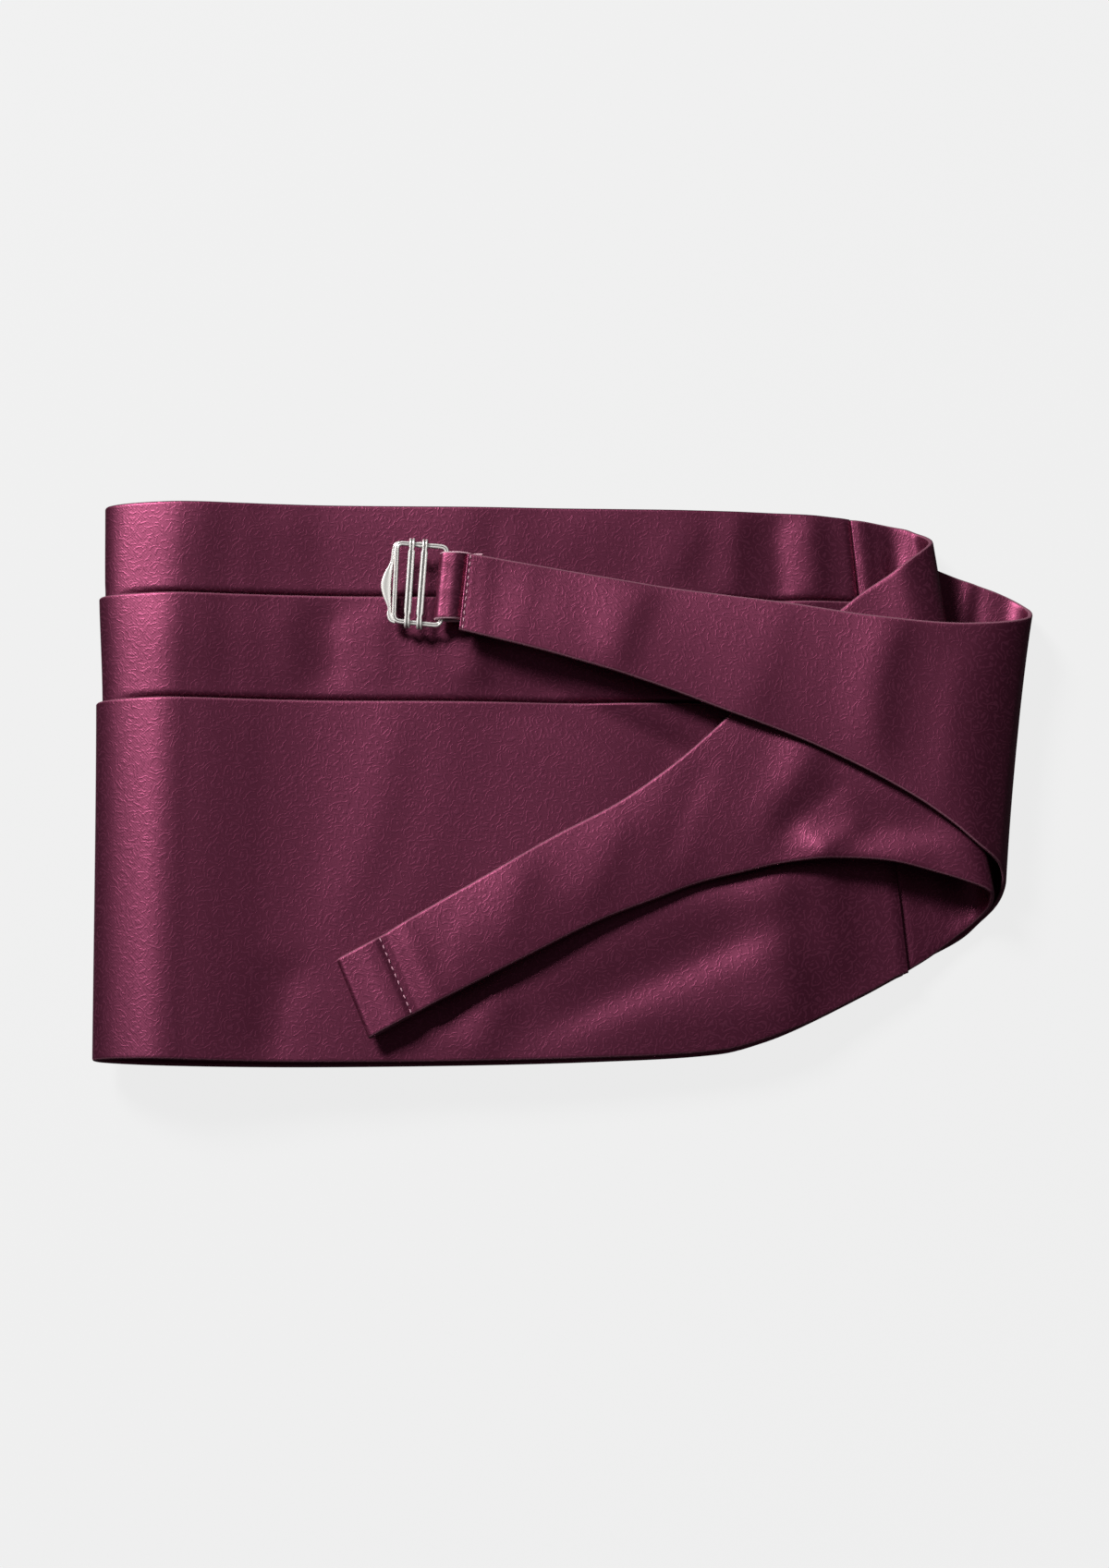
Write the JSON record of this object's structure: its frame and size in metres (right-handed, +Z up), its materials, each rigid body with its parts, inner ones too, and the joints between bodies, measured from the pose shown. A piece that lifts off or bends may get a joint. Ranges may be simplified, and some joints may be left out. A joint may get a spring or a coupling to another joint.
{
  "type": "cummerbund",
  "caption": "Pleated satin cummerbund folded in half and laid flat, its tapered back straps rolled over at one end and laid back across the front, with a wire slider.",
  "frame": {"origin": "the middle of the underside of the whole part, on the surface it lies on", "axes": "+X from the fold at the left to the rolled straps at the right, along the panel; +Y from the panel's lower edge to its upper edge, the way the pleats open; +Z up, out of the front"},
  "size_m": [0.2245, 0.1348, 0.0182],
  "materials": {
    "satin": "burgundy satin with a fine tone-on-tone scroll weave",
    "slider_metal": "polished nickel plate"
  },
  "bodies": {
    "root": {"tier_top": "satin", "tier_middle": "satin", "tier_lower": "satin", "back_strap_plain": "satin", "back_strap_slider": "satin", "slider_loop": "satin", "slider_frame": "slider_metal", "slider_bar_left": "slider_metal", "slider_bar_right": "slider_metal"}
  },
  "joints": []
}
